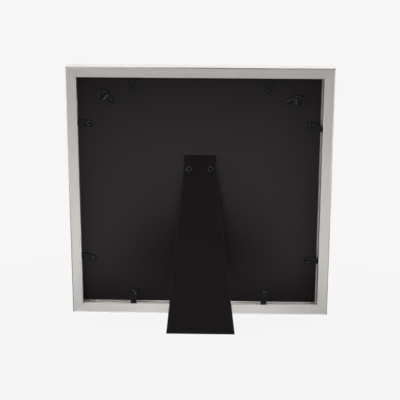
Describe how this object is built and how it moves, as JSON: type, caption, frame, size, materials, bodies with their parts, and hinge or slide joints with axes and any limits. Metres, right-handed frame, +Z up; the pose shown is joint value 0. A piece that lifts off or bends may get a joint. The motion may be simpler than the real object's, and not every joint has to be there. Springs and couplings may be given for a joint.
{
  "type": "collage photo frame",
  "caption": "Square silver photo frame with a window mat, a black backboard held by turn buttons, D ring hangers and a folding easel leg.",
  "frame": {"origin": "bottom centre of the standing frame's box, on the surface that it stands on", "axes": "+Z up, +X along the frame's width to the right from the front, +Y to the back, where the leg is"},
  "size_m": [0.305, 0.1058, 0.3017],
  "materials": {
    "silver_rail": "satin silver foil on fibreboard",
    "bright_steel": "bare stamped steel",
    "clear_glass": "clear picture glass",
    "white_card": "matt white mat card with a bevelled core",
    "photo_paper": "semi gloss photo paper",
    "black_board": "black faced hardboard, low sheen",
    "black_leg": "black faced hardboard, matt",
    "black_steel": "black lacquered stamped steel"
  },
  "bodies": {
    "frame": {"bottom_rail": "silver_rail", "left_rail": "silver_rail", "top_rail": "silver_rail", "right_rail": "silver_rail", "corner_nail_bottom_left": "bright_steel", "corner_nail_top_left": "bright_steel", "corner_nail_top_right": "bright_steel", "corner_nail_bottom_right": "bright_steel", "glass_pane": "clear_glass", "window_mat": "white_card", "photo_print_top_left": "photo_paper", "photo_print_top_right": "photo_paper", "photo_print_bottom_right": "photo_paper", "photo_print_bottom_left": "photo_paper", "backboard": "black_board", "button_eyelet_bottom_left": "black_steel", "button_eyelet_bottom_right": "black_steel", "button_eyelet_left_lower": "black_steel", "button_eyelet_left_upper": "black_steel", "button_eyelet_top_left": "black_steel", "button_eyelet_top_right": "black_steel", "button_eyelet_right_lower": "black_steel", "button_eyelet_right_upper": "black_steel", "hanger_eyelet_left": "black_steel", "hanger_eyelet_right": "black_steel", "hinge_board_leaf": "black_steel", "hinge_pin": "black_steel", "board_leaf_rivet_left": "black_steel", "board_leaf_rivet_right": "black_steel"},
    "easel": {"easel_leg": "black_leg", "hinge_leg_leaf": "black_steel", "leg_eyelet_left": "black_steel", "leg_eyelet_right": "black_steel"},
    "turn_button_bottom_left": {"turn_button_bottom_left": "black_steel"},
    "turn_button_bottom_right": {"turn_button_bottom_right": "black_steel"},
    "turn_button_left_lower": {"turn_button_left_lower": "black_steel"},
    "turn_button_left_upper": {"turn_button_left_upper": "black_steel"},
    "turn_button_top_left": {"turn_button_top_left": "black_steel"},
    "turn_button_top_right": {"turn_button_top_right": "black_steel"},
    "turn_button_right_lower": {"turn_button_right_lower": "black_steel"},
    "turn_button_right_upper": {"turn_button_right_upper": "black_steel"},
    "hanger_strap_left": {"hanger_strap_left": "black_steel"},
    "hanger_strap_right": {"hanger_strap_right": "black_steel"},
    "hanger_ring_left": {"hanger_ring_left": "black_steel"},
    "hanger_ring_right": {"hanger_ring_right": "black_steel"}
  },
  "joints": [
    {"name": "leg_fold", "type": "hinge", "parent": "frame", "child": "easel", "pos_m": [0, -0.00573, 0.1853], "axis": [-1, 0, 0], "range_deg": [0, 27]},
    {"name": "button_turn_bottom_left", "type": "hinge", "parent": "frame", "child": "turn_button_bottom_left", "pos_m": [-0.078, -0.03886, 0.02692], "axis": [0, 0.9816, -0.1908], "range_deg": [-90, 90]},
    {"name": "button_turn_bottom_right", "type": "hinge", "parent": "frame", "child": "turn_button_bottom_right", "pos_m": [0.078, -0.03886, 0.02692], "axis": [0, 0.9816, -0.1908], "range_deg": [-90, 90]},
    {"name": "button_turn_left_lower", "type": "hinge", "parent": "frame", "child": "turn_button_left_lower", "pos_m": [-0.127, -0.03066, 0.06913], "axis": [0, 0.9816, -0.1908], "range_deg": [-90, 90]},
    {"name": "button_turn_left_upper", "type": "hinge", "parent": "frame", "child": "turn_button_left_upper", "pos_m": [-0.127, 0.0014, 0.23404], "axis": [0, 0.9816, -0.1908], "range_deg": [-90, 90]},
    {"name": "button_turn_top_left", "type": "hinge", "parent": "frame", "child": "turn_button_top_left", "pos_m": [-0.078, 0.0096, 0.27625], "axis": [0, 0.9816, -0.1908], "range_deg": [-90, 90]},
    {"name": "button_turn_top_right", "type": "hinge", "parent": "frame", "child": "turn_button_top_right", "pos_m": [0.078, 0.0096, 0.27625], "axis": [0, 0.9816, -0.1908], "range_deg": [-90, 90]},
    {"name": "button_turn_right_lower", "type": "hinge", "parent": "frame", "child": "turn_button_right_lower", "pos_m": [0.127, -0.03066, 0.06913], "axis": [0, 0.9816, -0.1908], "range_deg": [-90, 90]},
    {"name": "button_turn_right_upper", "type": "hinge", "parent": "frame", "child": "turn_button_right_upper", "pos_m": [0.127, 0.0014, 0.23404], "axis": [0, 0.9816, -0.1908], "range_deg": [-90, 90]},
    {"name": "hanger_swivel_left", "type": "hinge", "parent": "frame", "child": "hanger_strap_left", "pos_m": [-0.1023, 0.00653, 0.26044], "axis": [0, 0.9816, -0.1908], "range_deg": [-60, 60]},
    {"name": "hanger_swivel_right", "type": "hinge", "parent": "frame", "child": "hanger_strap_right", "pos_m": [0.1023, 0.00653, 0.26044], "axis": [0, 0.9816, -0.1908], "range_deg": [-60, 60]},
    {"name": "ring_flip_left", "type": "hinge", "parent": "hanger_strap_left", "child": "hanger_ring_left", "pos_m": [-0.10841, 0.00899, 0.26106], "axis": [-0.1736, -0.1879, -0.9667], "range_deg": [0, 165]},
    {"name": "ring_flip_right", "type": "hinge", "parent": "hanger_strap_right", "child": "hanger_ring_right", "pos_m": [0.10683, 0.00959, 0.26416], "axis": [-0.682, 0.1395, 0.7179], "range_deg": [0, 165]}
  ]
}
